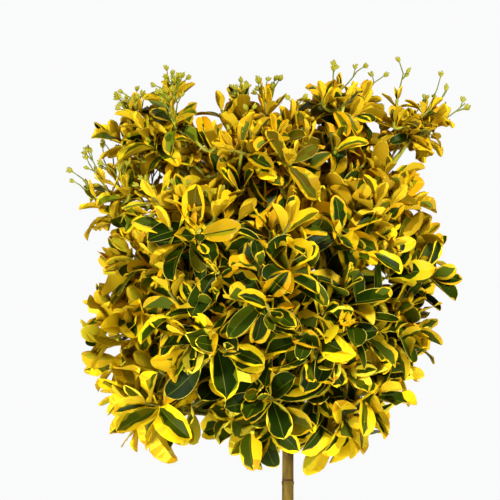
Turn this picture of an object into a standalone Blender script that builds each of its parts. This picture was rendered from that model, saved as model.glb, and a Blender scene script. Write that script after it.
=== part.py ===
"""Standard Japanese spindle: one clear stem that carries a round head of variegated evergreen shoots.

Metres, +Z up. The origin is the middle of the flat cut under the trunk, at ground level.
The plant's front faces -Y and its right side +X.
Limbs and twigs are tapering tubes, and each mass of foliage is twigs and leaves fused into one solid.
"""

import math
import random

import bmesh
import bpy
from mathutils import Vector
from mathutils.bvhtree import BVHTree

# Trunk
TRUNK_TOP = 0.640  # height at which the trunk ends in the leader
TRUNK_LEAN = Vector((-0.011, 0.004, 0.0))  # how far the trunk's top stands from over its foot
TRUNK_BOW = Vector((-0.005, 0.006, 0.0))  # how far the middle bows away from a straight line
TRUNK_FOOT_RADIUS = 0.0092
TRUNK_TOP_RADIUS = 0.0060
FLARE = 0.0070  # how much wider the root flare is at the ground
FLARE_HEIGHT = 0.018  # the height in which the flare falls to about a third
FLARE_LOBES = 5
FLARE_LOBE_DEPTH = 0.30  # of the flare
OVAL = 0.4  # how far the flare is drawn out to two sides, against its lobes
OVAL_TURN = 1.0  # and the angle of those sides
LEADER_BASE = 0.58  # the leader goes on in the direction of the trunk from here to its top
TRUNK_SIDES = 15
FLARE_RING_HEIGHTS = (0.0, 0.008, 0.018, 0.034, 0.060)
STEM_RING_HEIGHTS = (0.12, 0.19, 0.26, 0.33, 0.40, 0.46, 0.52, 0.58, TRUNK_TOP)
TRUNK_RING_HEIGHTS = FLARE_RING_HEIGHTS + STEM_RING_HEIGHTS

# Crown
CORE = Vector((-0.022, 0.0, 0.716))  # the point from which the crown's reach is counted
CROWN_MIDDLE = Vector((-0.037, 0.0, 0.766))
MASS_DEPTH = 0.075  # how far a mass's middle lies inside its furthest tip
STRAY_DEPTH = 0.050
GAP = 0.0003  # clear space where two nodes meet
CELL_GAP = 0.0008  # clear space between two masses

# Each mass's furthest tip, from the crown's middle: right, back, up
TIPS = {
    "top_left": (-0.156, -0.015, 0.196),
    "top_middle": (-0.026, 0.000, 0.212),
    "top_right": (0.090, -0.015, 0.224),
    "top_front": (0.010, -0.130, 0.168),
    "top_back": (0.005, 0.125, 0.170),
    "right_shoot": (0.204, -0.010, 0.200),
    "right_upper": (0.200, -0.020, 0.046),
    "right_lower": (0.186, -0.040, -0.098),
    "left_shoot": (-0.216, -0.015, 0.090),
    "left_upper": (-0.188, -0.035, 0.010),
    "left_lower": (-0.206, -0.030, -0.086),
    "front_upper_left": (-0.100, -0.165, 0.085),
    "front_upper_right": (0.112, -0.150, 0.086),
    "front_middle": (-0.010, -0.215, 0.010),
    "front_lower_left": (-0.105, -0.165, -0.075),
    "front_lower_right": (0.085, -0.175, -0.080),
    "back_upper_left": (-0.120, 0.140, 0.090),
    "back_upper_right": (0.100, 0.146, 0.096),
    "back_middle": (-0.015, 0.205, 0.005),
    "back_lower_left": (-0.120, 0.145, -0.080),
    "back_lower_right": (0.092, 0.151, -0.084),
    "bottom_left": (-0.160, -0.034, -0.186),
    "bottom_front": (-0.006, -0.084, -0.200),
    "bottom_right": (0.134, -0.030, -0.186),
    "bottom_back": (0.026, 0.086, -0.194),
    "right_shoulder": (0.152, -0.040, 0.124),
}
STRAY = ("right_shoot", "left_shoot")  # single shoots that stand out of the round head

# The limb that each mass's bough leaves, and how far up that limb: a height on the trunk, a share on a bough
BOUGHS = {
    "top_middle": ("trunk", 1.0),
    "right_upper": ("trunk", 0.612),
    "right_shoulder": ("right_upper", 0.55),
    "left_upper": ("trunk", 0.600),
    "front_lower_left": ("trunk", 0.586),
    "front_lower_right": ("trunk", 0.622),
    "back_upper_left": ("trunk", 0.620),
    "back_upper_right": ("trunk", 0.594),
    "bottom_left": ("trunk", 0.562),
    "bottom_front": ("trunk", 0.552),
    "bottom_right": ("trunk", 0.574),
    "bottom_back": ("trunk", 0.558),
    "top_left": ("top_middle", 0.30),
    "top_right": ("top_middle", 0.45),
    "top_back": ("top_middle", 0.62),
    "top_front": ("top_middle", 0.78),
    "right_shoot": ("top_right", 0.55),
    "right_lower": ("right_upper", 0.40),
    "left_shoot": ("left_upper", 0.55),
    "left_lower": ("left_upper", 0.34),
    "front_upper_left": ("front_lower_left", 0.60),
    "front_middle": ("front_lower_left", 0.35),
    "front_upper_right": ("front_lower_right", 0.55),
    "back_lower_left": ("back_upper_left", 0.45),
    "back_middle": ("back_upper_right", 0.62),
    "back_lower_right": ("back_upper_right", 0.38),
}
LEADER_RADIUS = 0.0050
BOUGH_RADIUS = 0.0034
SIDE_BOUGH_SHARE = 0.80  # a side bough's foot radius as a share of its parent's radius there
BOUGH_TAPER = 0.62  # a bough's tip radius as a share of its foot's
BOUGH_SHARE = 0.50  # a bough covers at least this much of the way to its mass's middle
BOUGH_SHARE_STEP = 0.02
BOUGH_END_DEPTH = 0.006  # and ends this far inside its mass's space
BOUGH_ANGLE = math.radians(48)  # between a bough's foot and the limb that it leaves
BOUGH_BEND = 0.45  # how far out a bough's bend lies, as a share of the way to its end
BOUGH_SIDES = 5
BOUGH_RINGS = 6

# Twigs, leaves and flower buds
SHOOTS = 5  # in a mass
STRAY_SHOOTS = 3
GOLDEN_ANGLE = math.pi * (3 - math.sqrt(5))
SPREAD = 0.074  # how far a mass's shoots stand to its sides at its furthest tip
STRAY_SPREAD = 0.030
SPREAD_STEPS = 12  # a shoot that would leave its mass's space is brought in by steps of this share
SHOOT_MARGIN = 0.012  # from a shoot's tip to the side of its mass's space
INNER_SHOOT = 2  # the one that fills the inside
INNER_SHARE = 0.74  # its reach
FIRST_SIDE_SHOOT = 0.30  # the share of the stem's length at which the first side shoot leaves it
SIDE_SHOOT_STEP = 0.11
SIDE_SHOOT_ANGLE = math.radians(50)
SIDE_SHOOT_BEND = 0.45  # how far out a side shoot's bend lies, as a share of the way to its tip
STEM_BEND = 0.5
TWIG_SIDES = 3
TWIG_RADIUS = 0.0013
TWIG_TIP_RADIUS = 0.0009
TWIG_STEPS = 2
STEM_STEPS = 5
TWIG_ROOM = 0.003  # clear space between a twig and a limb
LEAF_LENGTH = 0.066
LEAF_WIDTH = 0.68  # of its length
LEAF_WIDEST = 0.58  # how far along it is widest
LEAF_THICKNESS = 0.018  # of its length
LEAF_DISH = 0.055  # how far a leaf's sides lift, of its length
LEAF_OVERHANG = 0.55  # the share of it that stands out past a shoot's tip
LEAF_ROOM = 0.004  # clear space between a leaf and a limb
LEAF_SAMPLES = (0.35, 0.7)  # shares of the way from a leaf's corners to its middle that are tested for it
RIM_SAMPLES = (0.3, 0.6)  # and shares of the way along its edges
LEAF_PAIRS = (0.002, 0.020, 0.041)  # from the shoot's tip
LEAF_ANGLES = (34, 58, 74)  # degrees between a leaf and its shoot, at each pair
LEAF_SIZES = (0.76, 1.0, 1.04)
TURN_PLAY = 0.25  # how far a leaf may be turned out of its place round its shoot
TILT_PLAY = 9  # degrees
SIZE_PLAY = 0.08
LEAF_TRIES = 12  # a leaf that would cross something is turned and made smaller, and at last skipped
LEAF_SHRINK = 0.03  # at each try
LEAF_FREEDOM = 0.18  # how much further it may turn at each try
BLADE_START = 0.16  # the share of a leaf's first edges that may cross what is at its foot
CYMES = 1  # in each mass that flowers
CYME_FOOT = 0.90  # the share of its shoot's length at which a flower stalk leaves it
CYME_LEAN = 0.35  # how far it may lean to any side
CYME_RISE = 0.5  # and how far it turns up
CYME_LENGTH = 0.040
CYME_FORK = 0.018
CYME_OPENING = 0.75  # how far the fork's arms open
CYME_RADIUS = 0.0008
CYME_ARM_RADIUS = 0.00072
BUD_RADIUS = 0.0024
BUD_LENGTH = 1.3  # of its width
CYME_MASSES = ("top_left", "top_middle", "top_right", "top_front", "right_shoot", "left_shoot", "top_back")

BARK = ("bark", (0.36, 0.27, 0.13, 1.0), 0.75)
FOLIAGE = ("variegated_foliage", (0.62, 0.50, 0.05, 1.0), 0.40)


def clear_scene():
    for obj in list(bpy.data.objects):
        bpy.data.objects.remove(obj, do_unlink=True)


def material(name, colour, roughness):
    made = bpy.data.materials.get(name) or bpy.data.materials.new(name)
    made.use_nodes = True
    shader = made.node_tree.nodes["Principled BSDF"]
    shader.inputs["Base Color"].default_value = colour
    shader.inputs["Roughness"].default_value = roughness
    shader.inputs["Metallic"].default_value = 0.0
    return made


def new_object(name, verts, faces, look=None):
    mesh = bpy.data.meshes.new(name)
    mesh.from_pydata([tuple(v) for v in verts], [], faces)
    shape = bmesh.new()
    shape.from_mesh(mesh)
    bmesh.ops.recalc_face_normals(shape, faces=shape.faces)
    shape.to_mesh(mesh)
    shape.free()
    obj = bpy.data.objects.new(name, mesh)
    bpy.context.scene.collection.objects.link(obj)
    if look:
        mesh.materials.append(material(*look))
    return obj


# Curves and tubes


def bezier(start, bend, end, steps):
    """Points along a curve that leaves start towards bend and arrives at end from bend."""
    points = []
    for i in range(steps + 1):
        t = i / steps
        points.append(start * (1 - t) ** 2 + bend * 2 * t * (1 - t) + end * t * t)
    return points


def along(points, share):
    """The point and the direction at a share of the way along a line of points."""
    place = min(max(share, 0.0), 1.0) * (len(points) - 1)
    i = min(int(place), len(points) - 2)
    step = points[i + 1] - points[i]
    return points[i] + step * (place - i), step.normalized()


def square_to(direction, like=None):
    """A unit vector at right angles to direction, as near like as can be."""
    like = like or (Vector((0, 0, 1)) if abs(direction.z) < 0.9 else Vector((1, 0, 0)))
    return (like - direction * like.dot(direction)).normalized()


def rings_along(points, radii, sides, lobes=None):
    """Rings of points round a line. The first ring's frame is carried along, so that nothing twists."""
    rings = []
    side = None
    for i, point in enumerate(points):
        before, after = points[max(i - 1, 0)], points[min(i + 1, len(points) - 1)]
        direction = (after - before).normalized()
        side = square_to(direction, side)
        other = direction.cross(side)
        ring = []
        for k in range(sides):
            angle = 2 * math.pi * k / sides
            radius = radii[i] + (lobes(point.z, angle) if lobes else 0.0)
            ring.append(point + (side * math.cos(angle) + other * math.sin(angle)) * radius)
        rings.append(ring)
    return rings


def tube(points, radii, sides, lobes=None):
    """A closed tube with flat ends, as points and faces."""
    rings = rings_along(points, radii, sides, lobes)
    verts = [v for ring in rings for v in ring]
    faces = [tuple(range(sides))[::-1]]
    for i in range(len(rings) - 1):
        for k in range(sides):
            a, b = i * sides + k, i * sides + (k + 1) % sides
            faces.append((a, b, b + sides, a + sides))
    last = (len(rings) - 1) * sides
    faces.append(tuple(range(last, last + sides)))
    return verts, faces


def tapered(first, last, count):
    return [first + (last - first) * i / (count - 1) for i in range(count)]


# Trunk and boughs


def trunk_point(height):
    share = height / TRUNK_TOP
    bow = TRUNK_BOW * math.sin(math.pi * share)
    return Vector((0, 0, height)) + TRUNK_LEAN * share + bow


def trunk_radius(height):
    plain = TRUNK_FOOT_RADIUS + (TRUNK_TOP_RADIUS - TRUNK_FOOT_RADIUS) * height / TRUNK_TOP
    return plain + FLARE * math.exp(-height / FLARE_HEIGHT)


def flare_lobes(height, angle):
    """The ridges that run down into the main roots."""
    wave = math.cos(FLARE_LOBES * angle) + OVAL * math.cos(2 * angle + OVAL_TURN)
    return FLARE * FLARE_LOBE_DEPTH * math.exp(-height / FLARE_HEIGHT) * wave


def trunk_tube(extra=0.0, overlap=0.0):
    """The trunk's points and faces. Its clearance solid is wider by extra and longer by overlap."""
    heights = TRUNK_RING_HEIGHTS
    points = [trunk_point(h) for h in heights]
    radii = [trunk_radius(h) + extra for h in heights]
    if overlap:
        points[-1] = points[-1] + (points[-1] - points[-2]).normalized() * overlap
    verts, faces = tube(points, radii, TRUNK_SIDES, flare_lobes)
    for v in verts[:TRUNK_SIDES]:
        v.z = 0.0
    return verts, faces


class Mass:
    """One mass of foliage: where its middle and its furthest tip are."""

    def __init__(self, name):
        self.name = name
        self.tip = CROWN_MIDDLE + Vector(TIPS[name])
        self.out = (self.tip - CORE).normalized()
        self.reach = (self.tip - CORE).length
        self.depth = STRAY_DEPTH if name in STRAY else MASS_DEPTH
        self.middle = self.tip - self.out * self.depth
        self.seed = list(TIPS).index(name) + 2


def depth_in(mass, masses, point):
    """How far a point is inside the planes halfway from a mass's middle to the others' middles."""
    own = (point - mass.middle).length_squared
    depths = []
    for other in masses.values():
        if other is not mass:
            apart = (other.middle - mass.middle).length
            depths.append(((point - other.middle).length_squared - own) / (2 * apart))
    return min(depths)


class Limb:
    """One tapering limb: its line of points and its radius at each."""

    def __init__(self, points, radii):
        self.points = points
        self.radii = radii
        self.skin = BVHTree.FromPolygons(*tube(points, [r + 2 * GAP for r in radii], BOUGH_SIDES))

    def radius_at(self, share):
        return self.radii[0] + (self.radii[-1] - self.radii[0]) * share

    def distance(self, point):
        """How far a point is from the limb's skin."""
        nearest = math.inf
        for i in range(len(self.points) - 1):
            a, step = self.points[i], self.points[i + 1] - self.points[i]
            t = min(max((point - a).dot(step) / step.length_squared, 0.0), 1.0)
            radius = self.radii[i] + (self.radii[i + 1] - self.radii[i]) * t
            nearest = min(nearest, (point - a - step * t).length - radius)
        return nearest


def bough_end(start, mass, masses):
    """Where a bough from start enters its mass's space."""
    share = BOUGH_SHARE
    while share < 1.0 and depth_in(mass, masses, start.lerp(mass.middle, share)) < BOUGH_END_DEPTH:
        share += BOUGH_SHARE_STEP
    return start.lerp(mass.middle, share)


def make_limbs(masses):
    """The trunk and every bough as lines, each bough from its parent's axis towards its mass."""
    heights = TRUNK_RING_HEIGHTS
    limbs = {"trunk": Limb([trunk_point(h) for h in heights], [trunk_radius(h) for h in heights])}
    for name, (parent, place) in BOUGHS.items():
        mass = masses[name]
        if name == "top_middle":
            start = trunk_point(TRUNK_TOP) + Vector((0, 0, GAP))
            leave = (trunk_point(TRUNK_TOP) - trunk_point(LEADER_BASE)).normalized()
            radius = LEADER_RADIUS
        elif parent == "trunk":
            start, axis, leave = trunk_point(place), Vector((0, 0, 1)), None
            radius = BOUGH_RADIUS
        else:
            start, axis = along(limbs[parent].points, place)
            leave = None
            radius = limbs[parent].radius_at(place) * SIDE_BOUGH_SHARE
        end = bough_end(start, mass, masses)
        if leave is None:
            outward = square_to(axis, end - start)
            leave = axis * math.cos(BOUGH_ANGLE) + outward * math.sin(BOUGH_ANGLE)
        bend = start + leave * (end - start).length * BOUGH_BEND
        points = bezier(start, bend, end, BOUGH_RINGS - 1)
        limbs[name] = Limb(points, tapered(radius, radius * BOUGH_TAPER, BOUGH_RINGS))
    return limbs


def build_trunk():
    verts, faces = trunk_tube()
    obj = new_object("trunk", verts, faces, BARK)
    obj.data.shade_smooth()
    return obj


def clearance_of(limbs, parent):
    """A solid that is the parent limb, wider by the gap. It cuts the foot of what grows from it."""
    if parent == "trunk":
        verts, faces = trunk_tube(extra=GAP, overlap=GAP)
    else:
        limb = limbs[parent]
        verts, faces = tube(limb.points, [r + GAP for r in limb.radii], BOUGH_SIDES)
    cutter = new_object("clearance_" + parent, verts, faces)
    cutter.hide_render = True
    cutter.display_type = "WIRE"
    return cutter


def build_boughs(limbs):
    cutters = {}
    for name, (parent, _) in BOUGHS.items():
        limb = limbs[name]
        verts, faces = tube(limb.points, limb.radii, BOUGH_SIDES)
        obj = new_object("bough_" + name, verts, faces, BARK)
        obj.data.shade_smooth()
        if name == "top_middle":
            continue
        if parent not in cutters:
            cutters[parent] = clearance_of(limbs, parent)
        cut = obj.modifiers.new("fit_to_parent", "BOOLEAN")
        cut.operation = "DIFFERENCE"
        cut.solver = "EXACT"
        cut.object = cutters[parent]


# Foliage


class Space:
    """The room that one mass keeps to: nearer its middle than any other's, and clear of every limb."""

    def __init__(self, mass, masses, limbs):
        self.mass = mass
        self.masses = masses
        self.limbs = list(limbs.values())
        self.skins = [limb.skin for limb in self.limbs]
        self.grown = []

    def is_own(self, point, margin=CELL_GAP / 2):
        return depth_in(self.mass, self.masses, point) > margin

    def is_free(self, points, room):
        if not all(self.is_own(p) for p in points):
            return False
        return all(limb.distance(p) > room for limb in self.limbs for p in points)

    def is_crossed_by(self, surface, own=None):
        return any(surface.overlap(other) for other in self.skins + self.grown if other is not own)


def shoot_tip(mass, index, space):
    """Where a shoot ends: the first at the mass's own tip, the others turned round it by the golden angle."""
    stray = mass.name in STRAY
    count = STRAY_SHOOTS if stray else SHOOTS
    side = square_to(mass.out)
    angle = mass.seed + index * GOLDEN_ANGLE
    aside = side * math.cos(angle) + mass.out.cross(side) * math.sin(angle)
    offset = (STRAY_SPREAD if stray else SPREAD) * math.sqrt(index / (count - 1))
    reach = (mass.reach - LEAF_LENGTH * LEAF_OVERHANG) * (INNER_SHARE if index == INNER_SHOOT else 1.0)
    while offset > 0.0:
        point = CORE + (mass.out * mass.reach + aside * offset).normalized() * reach
        if space.is_own(point, SHOOT_MARGIN):
            return point
        offset -= SPREAD / SPREAD_STEPS
    return CORE + mass.out * reach


def leaf_shape(foot, heading, face, size):
    """A thin dished leaf: foot, side, tip and side round its rim, and a middle point on each face."""
    length = LEAF_LENGTH * size
    widest = foot + heading * length * LEAF_WIDEST
    across = heading.cross(face).normalized() * length * LEAF_WIDTH / 2
    lift = face * length * LEAF_DISH
    thick = face * length * LEAF_THICKNESS / 2
    rim = [foot, widest + across + lift, foot + heading * length, widest - across + lift]
    faces = []
    for k in range(len(rim)):
        after = (k + 1) % len(rim)
        faces += [(k, after, len(rim)), (after, k, len(rim) + 1)]
    return rim + [widest + thick, widest - thick], faces


def blade_of(verts):
    """A leaf without its foot, to find what would cross it."""
    foot, left, tip, right = verts[:4]
    points = [foot.lerp(left, BLADE_START), left, tip, right, foot.lerp(right, BLADE_START)]
    return BVHTree.FromPolygons(points, [(0, 1, 4), (1, 3, 4), (1, 2, 3)])


def leaf_samples(verts):
    """Points all over a leaf but its foot, close enough together to find a limb that crosses it."""
    found = list(verts[1:])
    rim, middle = verts[:4], verts[4]
    for k in range(4):
        found += [rim[k].lerp(middle, t) for t in LEAF_SAMPLES]
        found += [rim[k].lerp(rim[(k + 1) % 4], t) for t in RIM_SAMPLES]
    return found


def grow_leaf(line, length, pair, turn, rng, space, own):
    """One leaf of a pair, turned and made smaller until it fits, or None."""
    place, axis = along(line, 1 - LEAF_PAIRS[pair] / length)
    side = square_to(axis)
    other = axis.cross(side)
    for attempt in range(LEAF_TRIES):
        freedom = 1 + LEAF_FREEDOM * attempt
        angle = turn + rng.uniform(-TURN_PLAY, TURN_PLAY) * freedom
        tilt = math.radians(LEAF_ANGLES[pair] + rng.uniform(-TILT_PLAY, TILT_PLAY) * freedom)
        outward = side * math.cos(angle) + other * math.sin(angle)
        heading = axis * math.cos(tilt) + outward * math.sin(tilt)
        face = axis * math.sin(tilt) - outward * math.cos(tilt)
        size = LEAF_SIZES[pair] * rng.uniform(1 - SIZE_PLAY, 1 + SIZE_PLAY) * (1 - LEAF_SHRINK * attempt)
        verts, faces = leaf_shape(place, heading, face, size)
        blade = blade_of(verts)
        if space.is_free(leaf_samples(verts), LEAF_ROOM) and not space.is_crossed_by(blade, own):
            space.grown.append(blade)
            return verts, faces
    return None


def stem_line(mass, limb, space):
    """The line of a mass's stem, from just clear of its bough's tip to the mass's own tip."""
    way = (limb.points[-1] - limb.points[-2]).normalized()
    start = limb.points[-1] + way * GAP
    tip = shoot_tip(mass, 0, space)
    return bezier(start, start + way * (tip - start).length * STEM_BEND, tip, STEM_STEPS)


def side_shape(line):
    return tube(line, tapered(TWIG_RADIUS, TWIG_TIP_RADIUS, TWIG_STEPS + 1), TWIG_SIDES)


def side_lines(mass, stem, space):
    """A mass's side shoots as lines that leave its stem one above the other and keep to its space."""
    lines = []
    for index in range(1, STRAY_SHOOTS if mass.name in STRAY else SHOOTS):
        tip = shoot_tip(mass, index, space)
        foot, way = along(stem, FIRST_SIDE_SHOOT + (index - 1) * SIDE_SHOOT_STEP)
        aside = square_to(way, tip - foot)
        leave = way * math.cos(SIDE_SHOOT_ANGLE) + aside * math.sin(SIDE_SHOOT_ANGLE)
        line = bezier(foot, foot + leave * (tip - foot).length * SIDE_SHOOT_BEND, tip, TWIG_STEPS)
        skin = BVHTree.FromPolygons(*side_shape(line))
        if space.is_free(line[1:], TWIG_ROOM) and not space.is_crossed_by(skin):
            lines.append(line)
    return lines


def grow_mass(mass, masses, limbs):
    """The closed shapes of a mass: its stem first, then leaves and flower buds, then side shoots."""
    rng = random.Random(mass.seed)
    space = Space(mass, masses, limbs)
    limb = limbs[mass.name]
    stem = stem_line(mass, limb, space)
    lines = [stem] + side_lines(mass, stem, space)
    shapes = [tube(stem, tapered(limb.radii[-1], TWIG_TIP_RADIUS, STEM_STEPS + 1), TWIG_SIDES)]
    shapes += [side_shape(line) for line in lines[1:]]
    space.grown = [BVHTree.FromPolygons(*shape) for shape in shapes]
    for index, line in enumerate(lines):
        length = sum((line[i + 1] - line[i]).length for i in range(len(line) - 1))
        turn = rng.uniform(0, math.pi)
        for pair in range(len(LEAF_PAIRS)):
            for half in (0, math.pi):
                angle = turn + pair * math.pi / 2 + half
                leaf = grow_leaf(line, length, pair, angle, rng, space, space.grown[index])
                if leaf:
                    shapes.append(leaf)
        if mass.name in CYME_MASSES and index < CYMES:
            shapes += grow_cyme(line, rng, space)
    return shapes


def grow_cyme(line, rng, space):
    """A flower stalk that forks once, with a bud at each end, from just under a shoot's tip."""
    place, axis = along(line, CYME_FOOT)
    lean = Vector((rng.uniform(-CYME_LEAN, CYME_LEAN), rng.uniform(-CYME_LEAN, CYME_LEAN), CYME_RISE))
    way = (axis + lean).normalized()
    fork = place + way * CYME_LENGTH
    side = square_to(way, Vector((rng.uniform(-1, 1), rng.uniform(-1, 1), 0.2)))
    stalk = tube([place, place.lerp(fork, 0.5), fork], [CYME_RADIUS] * 3, TWIG_SIDES)
    shapes = [stalk]
    for turn in (-1, 1):
        arm = (way + side * turn * CYME_OPENING).normalized()
        end = fork + arm * CYME_FORK
        shapes.append(tube([fork - way * CYME_RADIUS, end], [CYME_ARM_RADIUS] * 2, TWIG_SIDES))
        shapes.append(bud(end, arm))
    beyond_foot = stalk[0][TWIG_SIDES:] + [v for verts, _ in shapes[1:] for v in verts]
    clear = not any(space.is_crossed_by(BVHTree.FromPolygons(*shape)) for shape in shapes[1:])
    return shapes if clear and space.is_free(beyond_foot, TWIG_ROOM) else []


def bud(middle, way):
    side = square_to(way)
    other = way.cross(side)
    half = way * BUD_RADIUS * BUD_LENGTH
    verts = [middle + half, middle - half]
    verts += [middle + v * BUD_RADIUS for v in (side, other, -side, -other)]
    faces = []
    for k in range(4):
        a, b = 2 + k, 2 + (k + 1) % 4
        faces += [(a, b, 0), (b, a, 1)]
    return verts, faces


def fuse(name, shapes):
    """Joins a mass's closed shapes into one solid with one Boolean union on a collection."""
    stem = new_object(name, *shapes[0], FOLIAGE)
    rest = bpy.data.collections.new("joins_" + name)
    bpy.context.scene.collection.children.link(rest)
    for verts, faces in shapes[1:]:
        obj = new_object(name + "_piece", verts, faces, FOLIAGE)
        bpy.context.scene.collection.objects.unlink(obj)
        rest.objects.link(obj)
    join = stem.modifiers.new("join", "BOOLEAN")
    join.operation = "UNION"
    join.solver = "EXACT"
    join.operand_type = "COLLECTION"
    join.collection = rest
    bpy.context.view_layer.update()
    graph = bpy.context.evaluated_depsgraph_get()
    joined = bpy.data.meshes.new_from_object(stem.evaluated_get(graph))
    stem.modifiers.clear()
    stem.data = joined
    for obj in list(rest.objects):
        bpy.data.objects.remove(obj, do_unlink=True)
    bpy.data.collections.remove(rest)
    return stem


def main():
    clear_scene()
    masses = {name: Mass(name) for name in TIPS}
    limbs = make_limbs(masses)
    build_trunk()
    build_boughs(limbs)
    for mass in masses.values():
        shapes = grow_mass(mass, masses, limbs)
        fuse("foliage_" + mass.name, shapes)


main()
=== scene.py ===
"""Looks of the standard Japanese spindle: bark, twigs, variegated leaves and flower buds.

The limbs, stems and side shoots follow the same rule and named sizes as the solids. Each of them is carried
on here to finer twigs, and every twig ends in pairs of leaves at their real size.
"""

import functools
import math
import random

import bmesh
import bpy
import numpy as np
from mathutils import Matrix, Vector


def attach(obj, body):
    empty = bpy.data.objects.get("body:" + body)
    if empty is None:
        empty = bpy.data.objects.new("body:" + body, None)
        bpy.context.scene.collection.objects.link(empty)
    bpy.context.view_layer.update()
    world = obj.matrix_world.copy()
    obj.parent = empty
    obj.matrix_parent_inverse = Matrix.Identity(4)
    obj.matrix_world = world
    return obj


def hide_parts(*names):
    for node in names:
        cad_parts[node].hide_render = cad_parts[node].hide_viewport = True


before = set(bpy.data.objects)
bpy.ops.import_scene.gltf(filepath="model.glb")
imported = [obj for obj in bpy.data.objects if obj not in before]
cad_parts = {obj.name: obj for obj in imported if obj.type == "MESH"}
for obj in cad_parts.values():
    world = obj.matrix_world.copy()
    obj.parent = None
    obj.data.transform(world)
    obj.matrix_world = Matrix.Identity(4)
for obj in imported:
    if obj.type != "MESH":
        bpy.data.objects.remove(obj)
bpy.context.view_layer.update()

# Trunk
TRUNK_TOP = 0.64
TRUNK_LEAN = Vector((-0.011, 0.004, 0.0))  # of its top from over its foot
TRUNK_BOW = Vector((-0.005, 0.006, 0.0))  # of its middle
TRUNK_RADII = (0.0092, 0.006)  # at its foot and its top
FLARE = 0.007  # how much wider its foot is
FLARE_HEIGHT = 0.018  # in which that falls to about a third
FLARE_LOBES = 5
FLARE_LOBE_DEPTH = 0.3  # of the flare
OVAL = 0.4  # how far it is drawn out to two sides
OVAL_TURN = 1.0  # and their angle
LEADER_BASE = 0.58  # the leader goes on as the trunk runs from here up

# Crown
CORE = Vector((-0.022, 0.0, 0.716))  # from which reach is counted
CROWN_MIDDLE = Vector((-0.037, 0.0, 0.766))
CROWN_HALF_HEIGHT = 0.215
MASS_DEPTH = 0.075  # from a mass's furthest tip in to its middle
STRAY_DEPTH = 0.05
GAP = 0.0003  # clear space where two nodes meet

# Each mass's furthest tip from the crown's middle (right, back, up), the limb that its bough leaves, and how
# far up that limb: a height on the trunk, a share on a bough
PLAN = {
    "top_left": (-0.156, -0.015, 0.196, "top_middle", 0.3),
    "top_middle": (-0.026, 0.0, 0.212, "trunk", 1.0),
    "top_right": (0.09, -0.015, 0.224, "top_middle", 0.45),
    "top_front": (0.01, -0.13, 0.168, "top_middle", 0.78),
    "top_back": (0.005, 0.125, 0.17, "top_middle", 0.62),
    "right_shoot": (0.204, -0.01, 0.2, "top_right", 0.55),
    "right_upper": (0.2, -0.02, 0.046, "trunk", 0.612),
    "right_lower": (0.186, -0.04, -0.098, "right_upper", 0.4),
    "left_shoot": (-0.216, -0.015, 0.09, "left_upper", 0.55),
    "left_upper": (-0.188, -0.035, 0.01, "trunk", 0.6),
    "left_lower": (-0.206, -0.03, -0.086, "left_upper", 0.34),
    "front_upper_left": (-0.1, -0.165, 0.085, "front_lower_left", 0.6),
    "front_upper_right": (0.112, -0.15, 0.086, "front_lower_right", 0.55),
    "front_middle": (-0.01, -0.215, 0.01, "front_lower_left", 0.35),
    "front_lower_left": (-0.105, -0.165, -0.075, "trunk", 0.586),
    "front_lower_right": (0.085, -0.175, -0.08, "trunk", 0.622),
    "back_upper_left": (-0.12, 0.14, 0.09, "trunk", 0.62),
    "back_upper_right": (0.1, 0.146, 0.096, "trunk", 0.594),
    "back_middle": (-0.015, 0.205, 0.005, "back_upper_right", 0.62),
    "back_lower_left": (-0.12, 0.145, -0.08, "back_upper_left", 0.45),
    "back_lower_right": (0.092, 0.151, -0.084, "back_upper_right", 0.38),
    "bottom_left": (-0.16, -0.034, -0.186, "trunk", 0.562),
    "bottom_front": (-0.006, -0.084, -0.2, "trunk", 0.552),
    "bottom_right": (0.134, -0.03, -0.186, "trunk", 0.574),
    "bottom_back": (0.026, 0.086, -0.194, "trunk", 0.558),
    "right_shoulder": (0.152, -0.04, 0.124, "right_upper", 0.55),
}
STRAY = ("right_shoot", "left_shoot")  # single shoots that stand out of the round head
LEADER_RADIUS = 0.005
BOUGH_RADIUS = 0.0034
SIDE_BOUGH_SHARE = 0.8  # a side bough's foot, of its parent's radius there
BOUGH_TAPER = 0.62  # its tip, of its foot
BOUGH_SHARE = 0.5  # of the way to its mass's middle, at least
BOUGH_SHARE_STEP = 0.02
BOUGH_END_DEPTH = 0.006  # how far inside its mass's space it ends
BOUGH_ANGLE = math.radians(48)  # between its foot and the limb that it leaves
BOUGH_BEND = 0.45  # where it bends on the way to its end
BOUGH_RINGS = 6

# Stems and side shoots
FIRST_SEED = 2  # the masses' numbers count from here
LEAF_SEED = 1000  # with this added they seed their leaves
SHOOTS = 5  # in a mass
STRAY_SHOOTS = 3
GOLDEN_ANGLE = math.pi * (3 - math.sqrt(5))
SPREAD = 0.074  # how far they stand aside of its furthest tip
STRAY_SPREAD = 0.03
SPREAD_STEPS = 12
SHOOT_MARGIN = 0.012  # from its tip to the side of its mass's space
SOLID_LEAF = 0.066  # the length of the solids' leaves
LEAF_OVERHANG = 0.55  # the share of it past a shoot's tip
INNER_SHOOT = 2  # which fills the inside
INNER_SHARE = 0.74  # its reach
FIRST_SIDE_SHOOT = 0.3  # of the stem's length
SIDE_SHOOT_STEP = 0.11
SIDE_SHOOT_ANGLE = math.radians(50)
SIDE_SHOOT_BEND = 0.45  # where it bends on the way to its tip
BEND = 0.5  # where other twigs bend on the way to their ends
STEM_STEPS = 5
TWIG_STEPS = 6

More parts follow.
